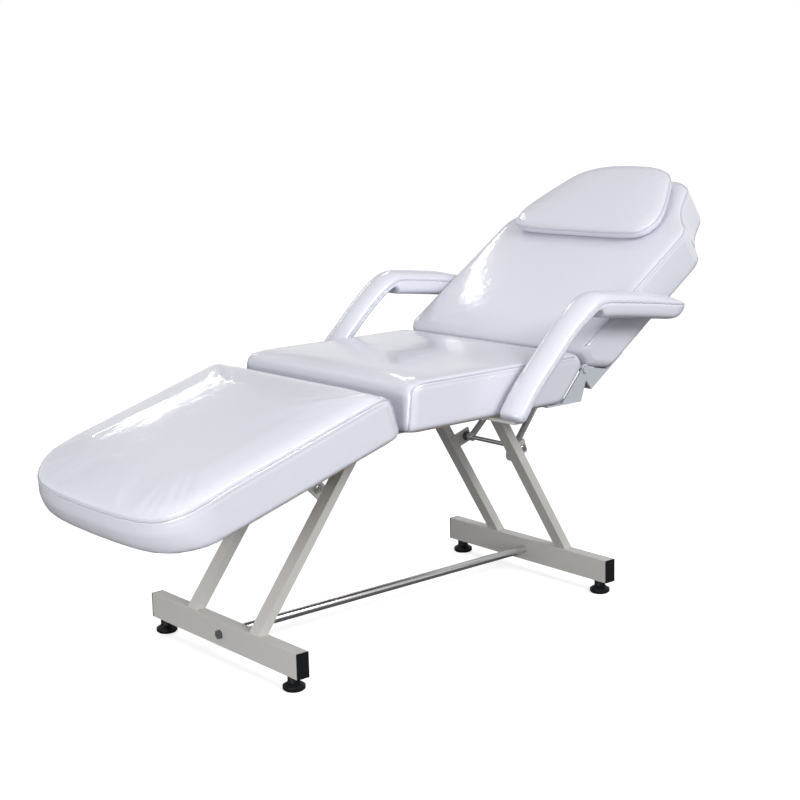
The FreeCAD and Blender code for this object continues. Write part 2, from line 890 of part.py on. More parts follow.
def rack(strut, under, rack_y, side):
    """A plate with a curved slot, notched on the side of the board, and a screwed flange."""
    half_slot = strut_bar_radius + slot_clearance
    y_low, y_high = sided(rack_y, rack_y + rack_plate_thickness, side)
    rim = path_places(strut, -(half_slot + rack_rim))
    low_x, high_x = rack_span(strut)
    corners = [
        rim[0],
        Vector(low_x, 0, rim[0].z),
        Vector(low_x, 0, under),
        Vector(high_x, 0, under),
        Vector(high_x, 0, rim[-1].z),
        rim[-1],
    ]
    straight = [Part.makeLine(start, end) for start, end in zip(corners, corners[1:])]
    plate = extruded(path_arcs(rim) + straight, y_low, y_high)
    slot_edges = path_arcs(path_places(strut, half_slot)) + path_arcs(path_places(strut, -half_slot))
    slot_edges.append(slot_end(strut, strut["high"], half_slot, -1))
    slot_edges.append(slot_end(strut, strut["low"], half_slot, 1))
    plate = plate.cut(extruded(slot_edges, y_low - cut_overrun, y_high + cut_overrun))
    for number in range(1, rack_notch_count + 1):
        tilt = strut["low"] + (strut["high"] - strut["low"]) * number / (rack_notch_count + 1)
        notch = bar_place(strut, tilt, rack_notch_depth)
        round_notch = disc_y(notch.x, notch.z, half_slot, y_low - cut_overrun, y_high + cut_overrun)
        plate = plate.cut(round_notch)
    flange_low, flange_high = sided(rack_y, rack_y + rack_flange, side)
    flange = block((low_x, flange_low, under - rack_plate_thickness), (high_x, flange_high, under))
    return plate.fuse(flange)


def rack_span(strut):
    """Low and high X of a rack, past both ends of its slot."""
    margin = strut_bar_radius + slot_clearance + rack_rim
    low_x = bar_place(strut, strut["high"], 0).x - margin
    high_x = bar_place(strut, strut["low"], 0).x + margin
    return low_x, high_x


def rack_screws(strut, under, rack_y):
    heads = []
    low_x, high_x = rack_span(strut)
    for side in (-1, 1):
        y = side * (rack_y + rack_flange / 2 + rack_plate_thickness / 2)
        for x in (low_x + rack_screw_inset, high_x - rack_screw_inset):
            heads.append(screw_head(x, y, under - rack_plate_thickness))
    return group(heads)


# Armrests
def arm_stations():
    """Position, slope and section sizes of each station along the armrest."""
    stations = []
    for number, shares in enumerate(arm_station_shares):
        reach, rise, slope, width, dome, depth = shares
        on_top = number > arm_elbow_station
        dome_height = arm_top_dome if on_top else arm_dome
        full_depth = arm_top_depth if on_top else arm_slope_depth
        stations.append(
            (
                arm_foot_x + reach * arm_reach,
                seat_underside + arm_foot_rise + rise * arm_rise,
                math.radians(slope),
                width * arm_half_width,
                dome * dome_height,
                depth * full_depth,
            )
        )
    return stations


def arm_section(station, centre_y):
    """A flat base with cut corners, upright sides to the seam and a domed top."""
    x, z, slope, half, dome, depth = station

    def at(across, up):
        return Vector(x - up * math.sin(slope), centre_y + across, z + up * math.cos(slope))

    bevel = arm_bevel_share * depth
    corners = [
        at(-half, 0),
        at(-half, bevel - depth),
        at(bevel - half, -depth),
        at(half - bevel, -depth),
        at(half, bevel - depth),
        at(half, 0),
    ]
    edges = [Part.makeLine(start, end) for start, end in zip(corners, corners[1:])]
    edges.append(arc_edge(at(half, 0), at(0, dome), at(-half, 0)))
    return Part.Wire(edges)


def arm_tab_high_x():
    """Where the steel's lower face leaves the foot of the pad."""
    x, _, slope, _, _, _ = arm_stations()[1]
    return x + (arm_slope_depth + arm_steel_thickness) / 2 * math.sin(slope)


def arm_steel(side, gap=0.0):
    """A flat bar inside the armrest, turned in under the seat at its foot."""
    stations = arm_stations()[1 : arm_steel_last_station + 1]
    middle = arm_slope_depth / 2
    half = arm_steel_thickness / 2 + gap

    def line_at(depth):
        line = []
        for x, z, slope, _, _, _ in stations:
            line.append((x + depth * math.sin(slope), z - depth * math.cos(slope)))
        return line

    upper = line_at(middle - half)
    lower = line_at(middle + half)
    foot_high = seat_underside
    foot_low = seat_underside - arm_steel_thickness
    foot = [(lower[0][0], foot_low), (upper[0][0] - gap, foot_low)]
    inner = arm_centre_y - arm_steel_width / 2 - gap
    outer = arm_centre_y + arm_steel_width / 2 + gap
    y_low, y_high = sided(inner, outer, side)
    bar = slab(upper + lower[::-1] + foot, y_low, y_high)
    y_low, y_high = sided(arm_tab_inner_y, outer, side)
    tab_low = (arm_tab_high_x() - arm_tab_length - gap, y_low, foot_low - gap)
    tab_high = (arm_tab_high_x() + gap, y_high, foot_high + gap)
    return bar.fuse(block(tab_low, tab_high))


def arm_pad(side):
    sections = [arm_section(station, side * arm_centre_y) for station in arm_stations()]
    pad = Part.makeLoft(sections, True, True)
    return pad.cut(arm_steel(side, soft_gap))


def arm_screws():
    """Two screws up through the tab of each armrest."""
    heads = []
    x = arm_tab_high_x() - arm_tab_length / 2
    low = seat_underside - arm_steel_thickness
    first_y = arm_tab_inner_y + arm_screw_inset
    for side in (-1, 1):
        for y in (first_y, first_y + arm_screw_spacing):
            heads.append(screw_head(x, side * y, low))
    return group(heads)


# The whole chair
def chair():
    nodes = {
        "foot_end_bar": base_bar(foot_end_bar_x),
        "head_end_bar": base_bar(head_end_bar_x),
        "bar_end_caps": end_caps(),
        "tie_rod": tie_rod(),
        "tie_bolts": tie_bolts(),
        "foot_cross_tube": cross_tube(foot_post_top_x),
        "head_cross_tube": cross_tube(head_post_top_x),
        "seat_screws": seat_screws(),
        "seat_board": seat_board(),
        "seat_cushion": seat_cushion(),
        "back_board": on_back(back_board()),
        "back_cushion": on_back(back_cushion()),
        "leg_board": on_leg(leg_board()),
        "leg_cushion": on_leg(leg_cushion()),
        "head_pillow": on_back(head_pillow()),
        "back_hinge_bolts": back_hinge_bolts(),
        "leg_hinge_seat_leaves": leg_hinge_seat_leaves(),
        "leg_hinge_leg_leaves": leg_hinge_leg_leaves(),
        "head_strut_rod": strut_rod(head_rod_x, head_rod_z),
        "foot_strut_rod": strut_rod(foot_rod_x, foot_rod_z),
        "head_rod_collars": rod_collars(head_rod_x, head_rod_z),
        "foot_rod_collars": rod_collars(foot_rod_x, foot_rod_z),
        "arm_screws": arm_screws(),
    }
    for end, x in (("foot_end", foot_end_bar_x), ("head_end", head_end_bar_x)):
        for name, y in zip(("left", "right"), foot_places()):
            nodes[f"levelling_foot_{end}_{name}"] = levelling_foot(x, y)
    for name, side in (("left", -1), ("right", 1)):
        foot_post = leaning_post(foot_post_base_x, foot_post_top_x, foot_post_lean_share, side)
        head_post = leaning_post(head_post_base_x, head_post_top_x, head_post_lean_share, side)
        foot_ear = strut_ear(foot_rod_x, foot_rod_z, -1, foot_ear_root, foot_ear_slope, side)
        head_ear = strut_ear(head_rod_x, head_rod_z, 1, head_ear_root, head_ear_slope, side)
        nodes[f"foot_end_post_{name}"] = foot_post.fuse(foot_ear)
        nodes[f"head_end_post_{name}"] = head_post.fuse(head_ear)
        nodes[f"seat_rail_{name}"] = seat_rail(side)
        nodes[f"seat_hinge_plate_{name}"] = seat_hinge_plate(side)
        nodes[f"back_hinge_plate_{name}"] = back_hinge_plate(side)
        nodes[f"arm_pad_{name}"] = arm_pad(side)
        nodes[f"arm_steel_{name}"] = arm_steel(side)
        head_leg = strut_leg(head_strut_length, side)
        foot_leg = strut_leg(foot_strut_length, side)
        nodes[f"head_strut_{name}"] = turned(head_leg, head_rod_x, head_rod_z, head_strut_angle)
        nodes[f"foot_strut_{name}"] = mirrored(foot_leg, foot_rod_x, foot_rod_z, foot_strut_angle)
    head_bar = strut_bar(head_strut_length, head_rack_y)
    foot_bar = strut_bar(foot_strut_length, foot_rack_y)
    nodes["head_strut_bar"] = turned(head_bar, head_rod_x, head_rod_z, head_strut_angle)
    nodes["foot_strut_bar"] = mirrored(foot_bar, foot_rod_x, foot_rod_z, foot_strut_angle)
    add_racks(nodes)
    return nodes


head_strut = {
    "pivot": (back_pivot_x, back_pivot_z),
    "rod": (head_rod_x, head_rod_z),
    "length": head_strut_length,
    "angle": head_strut_angle,
    "ratio": head_strut_ratio,
    "rest": back_angle,
    "low": back_angle_down,
    "high": back_angle_up,
}
foot_strut = {
    "pivot": (-leg_pivot_x, leg_pivot_z),
    "rod": (-foot_rod_x, foot_rod_z),
    "length": foot_strut_length,
    "angle": foot_strut_angle,
    "ratio": foot_strut_ratio,
    "rest": leg_angle,
    "low": leg_angle_down,
    "high": leg_angle_up,
}


def add_racks(nodes):
    for name, side in (("left", -1), ("right", 1)):
        nodes[f"back_rack_{name}"] = on_back(rack(head_strut, back_under, head_rack_y, side))
        nodes[f"leg_rack_{name}"] = on_leg(rack(foot_strut, leg_under, foot_rack_y, side))
    nodes["back_rack_screws"] = on_back(rack_screws(head_strut, back_under, head_rack_y))
    nodes["leg_rack_screws"] = on_leg(rack_screws(foot_strut, leg_under, foot_rack_y))


def main():
    os.makedirs("parts", exist_ok=True)
    for name, shape in chair().items():
        shape.exportStep(f"parts/{name}.step")
        print(f"{name}: {len(shape.Solids)} solids, valid {shape.isValid()}, volume {shape.Volume:.0f}")


main()
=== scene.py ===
import json
import math

import bpy
import numpy as np
from mathutils import Matrix, Vector
from mathutils.bvhtree import BVHTree


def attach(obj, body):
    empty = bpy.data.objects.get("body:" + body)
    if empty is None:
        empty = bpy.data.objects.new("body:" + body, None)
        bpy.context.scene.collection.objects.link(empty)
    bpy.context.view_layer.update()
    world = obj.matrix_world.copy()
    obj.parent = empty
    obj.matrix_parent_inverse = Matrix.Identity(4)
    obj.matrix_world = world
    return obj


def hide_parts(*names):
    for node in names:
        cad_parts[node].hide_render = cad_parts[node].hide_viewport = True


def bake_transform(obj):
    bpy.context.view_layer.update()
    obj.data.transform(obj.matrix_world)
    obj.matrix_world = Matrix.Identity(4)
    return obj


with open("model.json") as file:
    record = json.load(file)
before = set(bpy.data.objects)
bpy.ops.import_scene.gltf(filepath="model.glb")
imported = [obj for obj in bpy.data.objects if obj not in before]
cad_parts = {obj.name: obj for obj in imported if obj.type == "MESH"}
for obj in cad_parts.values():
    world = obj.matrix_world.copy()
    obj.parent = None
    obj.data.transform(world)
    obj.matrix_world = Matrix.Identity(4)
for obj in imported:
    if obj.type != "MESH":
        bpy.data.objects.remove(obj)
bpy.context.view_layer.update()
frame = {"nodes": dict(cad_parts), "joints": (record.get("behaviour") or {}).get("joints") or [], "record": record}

# The frame's joints, with all lengths in metres
joints = {joint["name"]: joint for joint in frame["joints"]}
back_pivot = Vector(joints["back_tilt"]["pos_m"])
leg_pivot = Vector(joints["leg_tilt"]["pos_m"])
back_angle = math.radians(34.15)
leg_angle = math.radians(-16.4)

# Camera, solved from the photograph
camera_place = Vector((-2.2224, -2.6432, 1.1547))
camera_azimuth = math.radians(-39.937)
camera_elevation = math.radians(10.843)
camera_roll = math.radians(-1.339)
camera_lens = 68.92
camera_sensor = 36.0
camera_reach = 100

# Pads, in the frame of their own panel
half_width = 0.300
corner_radius = 0.022
ring_points_per_corner = 8
ring_points_per_side = 24
spline_steps = 24
square_end_points = 16
straight_side_points = 24
curved_end_points = 60
crown_steps = [(0.004, 0.0025), (0.012, 0.0050), (0.026, 0.0066), (0.050, 0.0076), (0.085, 0.0080)]
leg_crown_steps = [
    (0.0015, 0.0050),
    (0.0050, 0.0100),
    (0.0110, 0.0145),
    (0.0200, 0.0180),
    (0.0340, 0.0195),
    (0.0550, 0.0205),
    (0.0900, 0.0210),
]
lower_edge_steps = [(0.0, 0.007), (0.003, 0.0025), (0.008, 0.0)]
wall_shares = np.linspace(0.15, 0.8, 8)
roll_turns = np.radians(np.linspace(15, 90, 6))
inset_widening_share = 0.25
pad_voxel = 0.006
small_voxel = 0.005
soften_factor = 0.5
soften_rounds = 3

# Cloth step
cloth_frames = 20
cloth_pressure = 4.0
cloth_limit = 0.024
cloth_share = 0.26
cloth_quality = 3
cloth_depth = 0.020
cloth_mass = 0.4
cloth_stretch = 25
cloth_shear = 10
cloth_bending = 2

# Seams
seam_hold = 0.006
seam_inset = 0.002
seam_start_rise = 0.004
seam_turns = np.radians(np.linspace(0, 90, 9))
upright_points = 14
bead_radius = 0.0019
bead_lift = 0.0004
groove_width = 0.006
groove_depth = 0.0022
stitch_drop = 0.010
stitch_depth = 0.0012
stitch_width = groove_width * 0.7
tube_sides = 8
near_reach = 0.012
path_stops = 40
least = 1e-9
least_square = 1e-12
least_side = 0.1
far_away = 1e9

# Seat, in the frame of the chair
seat_under = 0.4938
seat_seam = 0.5965
seat_front_low = -0.2400
seat_front_top = -0.2295
seat_rear_levels = [
    (0.492, 0.2190),
    (0.520, 0.2440),
    (0.550, 0.2710),
    (0.5655, 0.2840),
    (0.5735, 0.2895),
    (0.5815, 0.2845),
    (seat_seam, 0.2735),
]
end_roll = 0.022
seat_seam_points = 60

# Back
back_under = -0.0498
back_seam = 0.0498
back_length = 0.636
back_end_roll = 0.012
back_seam_points = 200
back_end_levels = [
    (-0.0516, 0.0600),
    (-0.030, 0.0380),
    (-0.006, 0.0130),
    (0.004, 0.0050),
    (0.012, 0.0040),
    (0.030, 0.0035),
    (back_seam, 0.0030),
]
back_outline_places = [
    (0.426, half_width),
    (0.452, 0.290),
    (0.474, 0.268),
    (0.500, 0.246),
    (0.525, 0.230),
    (0.561, 0.214),
    (0.595, 0.200),
    (0.615, 0.176),
    (0.629, 0.130),
    (back_length, 0.0),
]

# Leg rest
leg_under = 0.0073
leg_seam = 0.0975
leg_end = 0.004
leg_length = 0.584
leg_tip_levels = [
    (0.0055, 0.581),
    (0.030, 0.589),
    (0.060, 0.591),
    (leg_seam, leg_length),
    (0.125, 0.583),
]
leg_seam_levels = [
    (0.030, 0.1025),
    (0.420, 0.0985),
    (0.480, 0.0950),
    (0.520, 0.0890),
    (0.560, 0.0810),
    (leg_length, 0.0790),
]
leg_settled_above = 0.030
leg_seam_points = 160
leg_outline_places = [
    (0.470, half_width),
    (0.497, 0.2955),
    (0.519, 0.2850),
    (0.540, 0.2660),
    (0.557, 0.2420),
    (0.569, 0.2100),
    (0.577, 0.1650),
    (0.582, 0.1000),
    (leg_length, 0.0),
]

# Head pillow
pillow_seam = 0.0840
pillow_cloth_depth = 0.006
pillow_centre_shift = 0.02
pillow_lower_inset = 0.006
pillow_lower_drop = 0.011
pillow_side_points = 70
pillow_places = [
    (0.376, 0.0),
    (0.377, 0.130),
    (0.381, 0.188),
    (0.394, 0.217),
    (0.420, 0.229),
    (0.452, 0.229),
    (0.500, 0.212),
    (0.560, 0.182),
    (0.600, 0.158),
    (0.625, 0.122),
    (0.640, 0.070),
    (0.645, 0.0),
]
pillow_crown_steps = [
    (0.004, 0.0040),
    (0.012, 0.0080),
    (0.028, 0.0120),
    (0.055, 0.0140),
    (0.090, 0.0150),
    (0.130, 0.0155),
]
pillow_under_levels = [
    (0.0602, 0.050),
    (0.0604, 0.030),
    (0.0610, 0.016),
    (0.0630, 0.0085),
    (0.0660, 0.0045),
    (0.0700, 0.0020),
    (0.0770, 0.0004),
    (pillow_seam, 0.0),
]

# Armrests, along the line of the side seam
arm_centre_y = 0.348
arm_half_width = 0.040
arm_places = [
    (0.0060, 0.4940),
    (0.0440, 0.5440),
    (0.0760, 0.5780),
    (0.1142, 0.6150),
    (0.1529, 0.6525),
    (0.1920, 0.6860),
    (0.2236, 0.7085),
    (0.2475, 0.7205),
    (0.2700, 0.7235),
    (0.3250, 0.7185),
    (0.4040, 0.7095),
    (0.4907, 0.6985),
    (0.5330, 0.6940),
    (0.5580, 0.6915),
]
arm_elbow_x = 0.2490
arm_slope_dome = 0.021
arm_slope_half = 0.036
arm_top_dome = 0.023
arm_slope_depth = 0.014
arm_top_depth = 0.037
arm_depth_run = 0.006
arm_tip_run = 0.062
arm_dome_run = 0.150
arm_widening = (0.145, 0.275)
arm_dome_power = 0.85
arm_box_power = 0.45
arm_least_tip = 0.02
arm_foot_share = 0.82
arm_seam_points = 120
arm_foot_run = 0.012
arm_stations = 90
arm_ring = 48


# Outlines
def smooth_step(value, start, end):
    share = min(max((value - start) / (end - start), 0.0), 1.0)
    return share * share * (3 - 2 * share)


def spline(places, count):
    """Evenly spaced points along a smooth curve through places."""
    points = np.array(places, float)
    padded = np.vstack([2 * points[0] - points[1], points, 2 * points[-1] - points[-2]])
    fine = []
    for index in range(1, len(padded) - 2):
        before, start, end, after = padded[index - 1 : index + 3]
        for share in np.linspace(0, 1, spline_steps, endpoint=False):
            pull = (
                2 * start
                + (end - before) * share
                + (2 * before - 5 * start + 4 * end - after) * share**2
                + (3 * start - before - 3 * end + after) * share**3
            )
            fine.append(pull / 2)
    fine.append(padded[-2])
    return resample(np.array(fine), count)


def resample(points, count):
    steps = np.linalg.norm(np.diff(points, axis=0), axis=1)
    along = np.concatenate([[0], np.cumsum(steps)])
    wanted = np.linspace(0, along[-1], count)
    return np.column_stack([np.interp(wanted, along, column) for column in points.T])


def corner(centre, radius, start):
    turns = np.radians(np.linspace(start, start + 90, ring_points_per_corner))
    return np.column_stack([centre[0] + radius * np.cos(turns), centre[1] + radius * np.sin(turns)])


def rounded_rectangle(low, high, half, radius):
    """A closed ring that starts at the low end and runs round to the high end and back."""
    parts = [
        corner((low + radius, radius - half), radius, 180),
        corner((high - radius, radius - half), radius, 270),
        corner((high - radius, half - radius), radius, 0),
        corner((low + radius, half - radius), radius, 90),
    ]
    ring = []
    for index, part in enumerate(parts):
        following = parts[(index + 1) % len(parts)]
        ring.extend(part)
        ring.extend(np.linspace(part[-1], following[0], ring_points_per_side + 2)[1:-1])
    return np.array(ring)


def shrink(points, inset, centre):
    """Points moved towards a centre, by the inset where the shape is widest along each axis."""
    spans = np.abs(points - centre).max(axis=0)
    return centre + (points - centre) * (1 - inset / spans)


def mirrored_ring(places, count):
    """A closed ring from one side's places, which run from the low end to the high end."""
    right = spline(places, count)
    left = right[::-1] * np.array([1, -1])
    return np.vstack([right, left[1:-1]])


def tipped_ring(low, high, inset, length, places):
    """A closed ring with a square low end, straight sides and a curved high end."""
    radius = corner_radius
    cut = radius * (1 - math.cos(math.radians(45)))
    start = [
        (low, 0.0),
        (low, half_width - radius),
        (low + cut, half_width - cut),
        (low + radius, half_width),
    ]
    lower = np.vstack([np.linspace(start[0], start[1], square_end_points), start[2:]])
    side = np.linspace(start[-1], places[0], straight_side_points)
    upper = spline(places, curved_end_points)
    right = np.vstack([lower, side[1:], upper[1:]])
    right[:, 0] = low + (right[:, 0] - low) * (high - low) / (length - low)
    left = right[::-1] * np.array([1, -1])
    ring = np.vstack([right, left[1:-1]])
    return shrink(ring, inset, np.array([(low + high) / 2, 0.0]))


def beyond(ring, start, middle, count):
    """The stretch of a ring past a place along it, in order round its high end."""
    inner = ring[ring[:, 0] > start]
    turns = np.unwrap(np.arctan2(inner[:, 1], inner[:, 0] - middle))
    return resample(inner[np.argsort(turns)], count)


def seat_ring(low, high, inset):
    radius = corner_radius + inset * inset_widening_share
    return rounded_rectangle(low + inset, high - inset, half_width - inset, radius)


def leg_ring(low, high, inset):
    return tipped_ring(low, high, inset, leg_length, leg_outline_places)


def back_ring(low, high, inset):
    return tipped_ring(low, high, inset, back_length, back_outline_places)


def pillow_ring(inset):
    ring = mirrored_ring(pillow_places, pillow_side_points)
    middle = (pillow_places[0][0] + pillow_places[-1][0]) / 2 - pillow_centre_shift
    return shrink(ring, inset, np.array([middle, 0.0]))


# Meshes
def mesh_object(name, vertices, faces):
    mesh = bpy.data.meshes.new(name)
    mesh.from_pydata([tuple(v) for v in vertices], [], faces)
    mesh.update()
    piece = bpy.data.objects.new(name, mesh)
    bpy.context.scene.collection.objects.link(piece)
    return piece


def ring_faces(rings, count, closed=False):
    """Faces between rings of points. They meet again at the start, or end in flat caps."""
    faces = []
    for ring in range(rings if closed else rings - 1):
        low = ring * count
        high = (ring + 1) % rings * count
        for index in range(count):
            after = (index + 1) % count
            faces.append((low + index, low + after, high + after, high + index))
    if not closed:
        faces.append(tuple(range(count))[::-1])
        faces.append(tuple((rings - 1) * count + index for index in range(count)))
    return faces


def unchanged(x, height):
    return height


def stacked(name, rings, matrix, settled=unchanged):
    """A closed solid from rings of (x, y) points, each at its own height, which may settle."""
    vertices = []
    for ring, height in rings:
        vertices.extend((x, y, settled(x, height)) for x, y in ring)
    piece = mesh_object(name, vertices, ring_faces(len(rings), len(rings[0][0])))
    piece.data.transform(matrix)
    return piece


def bake(piece):
    """Applies all modifiers of a piece to its mesh."""
    graph = bpy.context.evaluated_depsgraph_get()
    baked = bpy.data.meshes.new_from_object(piece.evaluated_get(graph))
    piece.modifiers.clear()
    piece.data = baked
    return piece


def remeshed(piece, voxel):
    change = piece.modifiers.new("even", "REMESH")
    change.mode = "VOXEL"
    change.voxel_size = voxel
    change.use_smooth_shade = True
    bake(piece)
    soften = piece.modifiers.new("soften", "SMOOTH")
    soften.factor = soften_factor
    soften.iterations = soften_rounds
    return bake(piece)


def coordinates(mesh):
    flat = np.zeros(len(mesh.vertices) * 3)
    mesh.vertices.foreach_get("co", flat)
    return flat.reshape(-1, 3)


def distance_to(points, path):
    """Distance of each point from a polyline, worked out only for the points near it."""
    nearest = np.full(len(points), far_away)
    path = np.array(path)
    stops = path[:: max(len(path) // path_stops, 1)]
    stride = np.linalg.norm(np.diff(stops, axis=0), axis=1).max()
    rough = np.full(len(points), far_away)
    for stop in (*stops, path[-1]):
        rough = np.minimum(rough, np.abs(points - stop).max(axis=1))
    close = np.nonzero(rough < stride + near_reach)[0]
    some = points[close]
    found = nearest[close]
    for start, end in zip(path[:-1], path[1:]):
        run = end - start
        share = np.clip((some - start) @ run / max(run @ run, least_square), 0, 1)
        gap = np.linalg.norm(some - (start + share[:, None] * run), axis=1)
        found = np.minimum(found, gap)
    nearest[close] = found
    return nearest


def inflate(piece, held, fixed):
    """Fills a piece with air by cloth simulation. Held points stay, fixed faces take no part."""
    rest = coordinates(piece.data)
    corners = [list(face.vertices) for face in piece.data.polygons]
    faces = [face for face in corners if not fixed[face].all()]
    used = np.unique(np.concatenate(faces))
    numbers = np.full(len(rest), -1)
    numbers[used] = np.arange(len(used))
    skin = mesh_object(f"{piece.name}_skin", rest[used], [numbers[face].tolist() for face in faces])
    group = skin.vertex_groups.new(name="held")
    group.add([int(index) for index in np.nonzero((held | fixed)[used])[0]], 1.0, "REPLACE")
    cloth = skin.modifiers.new("fill", "CLOTH")
    settings = cloth.settings
    settings.quality = cloth_quality
    settings.mass = cloth_mass
    settings.tension_stiffness = cloth_stretch
    settings.compression_stiffness = cloth_stretch
    settings.shear_stiffness = cloth_shear
    settings.bending_stiffness = cloth_bending
    settings.use_pressure = True
    settings.uniform_pressure_force = cloth_pressure
    settings.vertex_group_mass = "held"
    settings.effector_weights.gravity = 0
    cloth.point_cache.frame_start = 1
    cloth.point_cache.frame_end = cloth_frames
    scene = bpy.context.scene
    for step in range(1, cloth_frames + 1):
        scene.frame_set(step)
    graph = bpy.context.evaluated_depsgraph_get()
    moved = coordinates(skin.evaluated_get(graph).data) - rest[used]
    length = np.linalg.norm(moved, axis=1)
    kept = cloth_limit * np.tanh(length / cloth_limit)
    moved *= (cloth_share * kept / np.maximum(length, least))[:, None]
    rest[used] += moved
    piece.data.vertices.foreach_set("co", rest.ravel())
    piece.data.update()
    bpy.data.objects.remove(skin)
    scene.frame_set(1)


def refine(piece):
    finer = piece.modifiers.new("finer", "SUBSURF")
    finer.levels = 1
    finer.render_levels = 1
    bake(piece)
    for face in piece.data.polygons:
        face.use_smooth = True


def groove(piece, path, width, depth):
    """Draws the surface in along a seam."""
    points = coordinates(piece.data)
    normals = np.zeros(len(points) * 3)
    piece.data.vertices.foreach_get("normal", normals)
    normals = normals.reshape(-1, 3)
    fall = np.clip(1 - distance_to(points, path) / width, 0, 1) ** 2
    points -= normals * (depth * fall)[:, None]
    piece.data.vertices.foreach_set("co", points.ravel())
    piece.data.update()


def on_surface(piece, path, lift):
    """A path laid on a piece's surface, lifted along its normal."""
    tree = BVHTree.FromObject(piece, bpy.context.evaluated_depsgraph_get())
    laid = []
    for place in path:
        spot, normal, _, _ = tree.find_nearest(Vector(place))
        laid.append(np.array(spot + normal * lift))
    return np.array(laid)


def tube(name, path, radius, closed):
    """A round cord along a path."""
    after = np.roll(path, -1, axis=0)
    before = np.roll(path, 1, axis=0)
    if not closed:
        after[-1] = path[-1]
        before[0] = path[0]
    along = after - before
    along /= np.linalg.norm(along, axis=1)[:, None]
    side = np.cross(along[0], (0.0, 0.0, 1.0))
    if np.linalg.norm(side) < least_side:
        side = np.cross(along[0], (0.0, 1.0, 0.0))
    vertices = []
    for place, heading in zip(path, along):
        side = side - heading * (side @ heading)
        side /= np.linalg.norm(side)
        up = np.cross(heading, side)
        for number in range(tube_sides):
            turn = 2 * math.pi * number / tube_sides
            vertices.append(place + radius * (math.cos(turn) * side + math.sin(turn) * up))
    cord = mesh_object(name, vertices, ring_faces(len(path), tube_sides, closed))
    for face in cord.data.polygons:
        face.use_smooth = True
    return cord


def panel_matrix(pivot, angle, towards):
    """From a panel's own frame, X along it and Z up from it, to the chair."""
    along = Vector((towards * math.cos(angle), 0, math.sin(angle)))
    across = Vector((0, towards, 0))
    up = along.cross(across)
    matrix = Matrix.Identity(4)
    for column, axis in enumerate((along, across, up)):
        for row in range(3):
            matrix[row][column] = axis[row]
    matrix.translation = pivot
    return matrix


chair = Matrix.Identity(4)
back_panel = panel_matrix(back_pivot, back_angle, 1)
leg_panel = panel_matrix(leg_pivot, leg_angle, -1)


def placed(path, matrix):
    return np.array([matrix @ Vector(place) for place in path])


# Pads
def pad_rings(outline, under, seam, low_at, high_at, crown, low_roll):
    """Rings of a pad from its underside, up its sides and over its crowned top."""
    rings = []
    for rise, inset in lower_edge_steps:
        height = under + rise
        rings.append((outline(low_at(height), high_at(height), inset), height))
    for share in wall_shares:
        height = under + (seam - under) * share
        rings.append((outline(low_at(height), high_at(height), 0.0), height))
    for turn in roll_turns:
        height = seam - low_roll * (1 - math.sin(turn))
        back_off = low_roll * (1 - math.cos(turn))
        rings.append((outline(low_at(height) + back_off, high_at(height), 0.0), height))
    low = low_at(seam) + low_roll
    high = high_at(seam)
    for inset, rise in crown:
        rings.append((outline(low, high, inset), seam + rise))
    return rings


def level_of(levels):
    heights = [height for height, _ in levels]
    places = [place for _, place in levels]
    return lambda height: float(np.interp(height, heights, places))


def constant(value):
    return lambda height: value


def level_path(ring, height, matrix):
    return placed([(x, y, height) for x, y in ring], matrix)


def end_seam(low_at, y, under, seam):
    """The seam up a pad's square end and round its upper edge."""
    heights = np.linspace(under + seam_start_rise, seam - end_roll, upright_points)
    path = [(low_at(height), y, height) for height in heights]
    for turn in seam_turns[1:]:
        height = seam - end_roll * (1 - math.sin(turn))
        path.append((low_at(height) + end_roll * (1 - math.cos(turn)), y, height))
    return path


vinyl_pieces = []
bead_pieces = []


def finish_pad(piece, panel, free_above, beads, stitches, body, node):
    """Fills a pad above a level of its panel, draws its seams in and lays the beads."""
    points = coordinates(piece.data)
    fixed = placed(points, panel.inverted())[:, 2] < free_above
    held = np.zeros(len(points), bool)
    seams = [np.vstack([path, path[:1]]) if closed else path for _, path, closed in beads]
    for seam in seams:
        held |= distance_to(points, seam) < seam_hold
    inflate(piece, held, fixed)
    refine(piece)
    laid = []
    for seam, (_, path, _) in zip(seams, beads):
        groove(piece, seam, groove_width, groove_depth)
        laid.append(on_surface(piece, path, bead_lift))
    for path in stitches:
        groove(piece, path, stitch_width, stitch_depth)
    cords = []
    for path, (name, _, closed) in zip(laid, beads):
        cords.append(tube(name, path, bead_radius, closed))
    vinyl_pieces.append(piece)
    bead_pieces.extend(cords)
    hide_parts(node)
    if body:
        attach(piece, body)
    for cord in cords:
        if body:
            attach(cord, body)
    return piece, cords


def leg_seam_height(x):
    """The seam falls towards the tip."""
    places, heights = zip(*leg_seam_levels)
    return float(np.interp(x, places, heights))


def leg_settled(x, height):
    """Upper levels follow the seam down."""
    return height + (leg_seam_height(x) - leg_seam) * smooth_step(height, leg_settled_above, leg_seam)


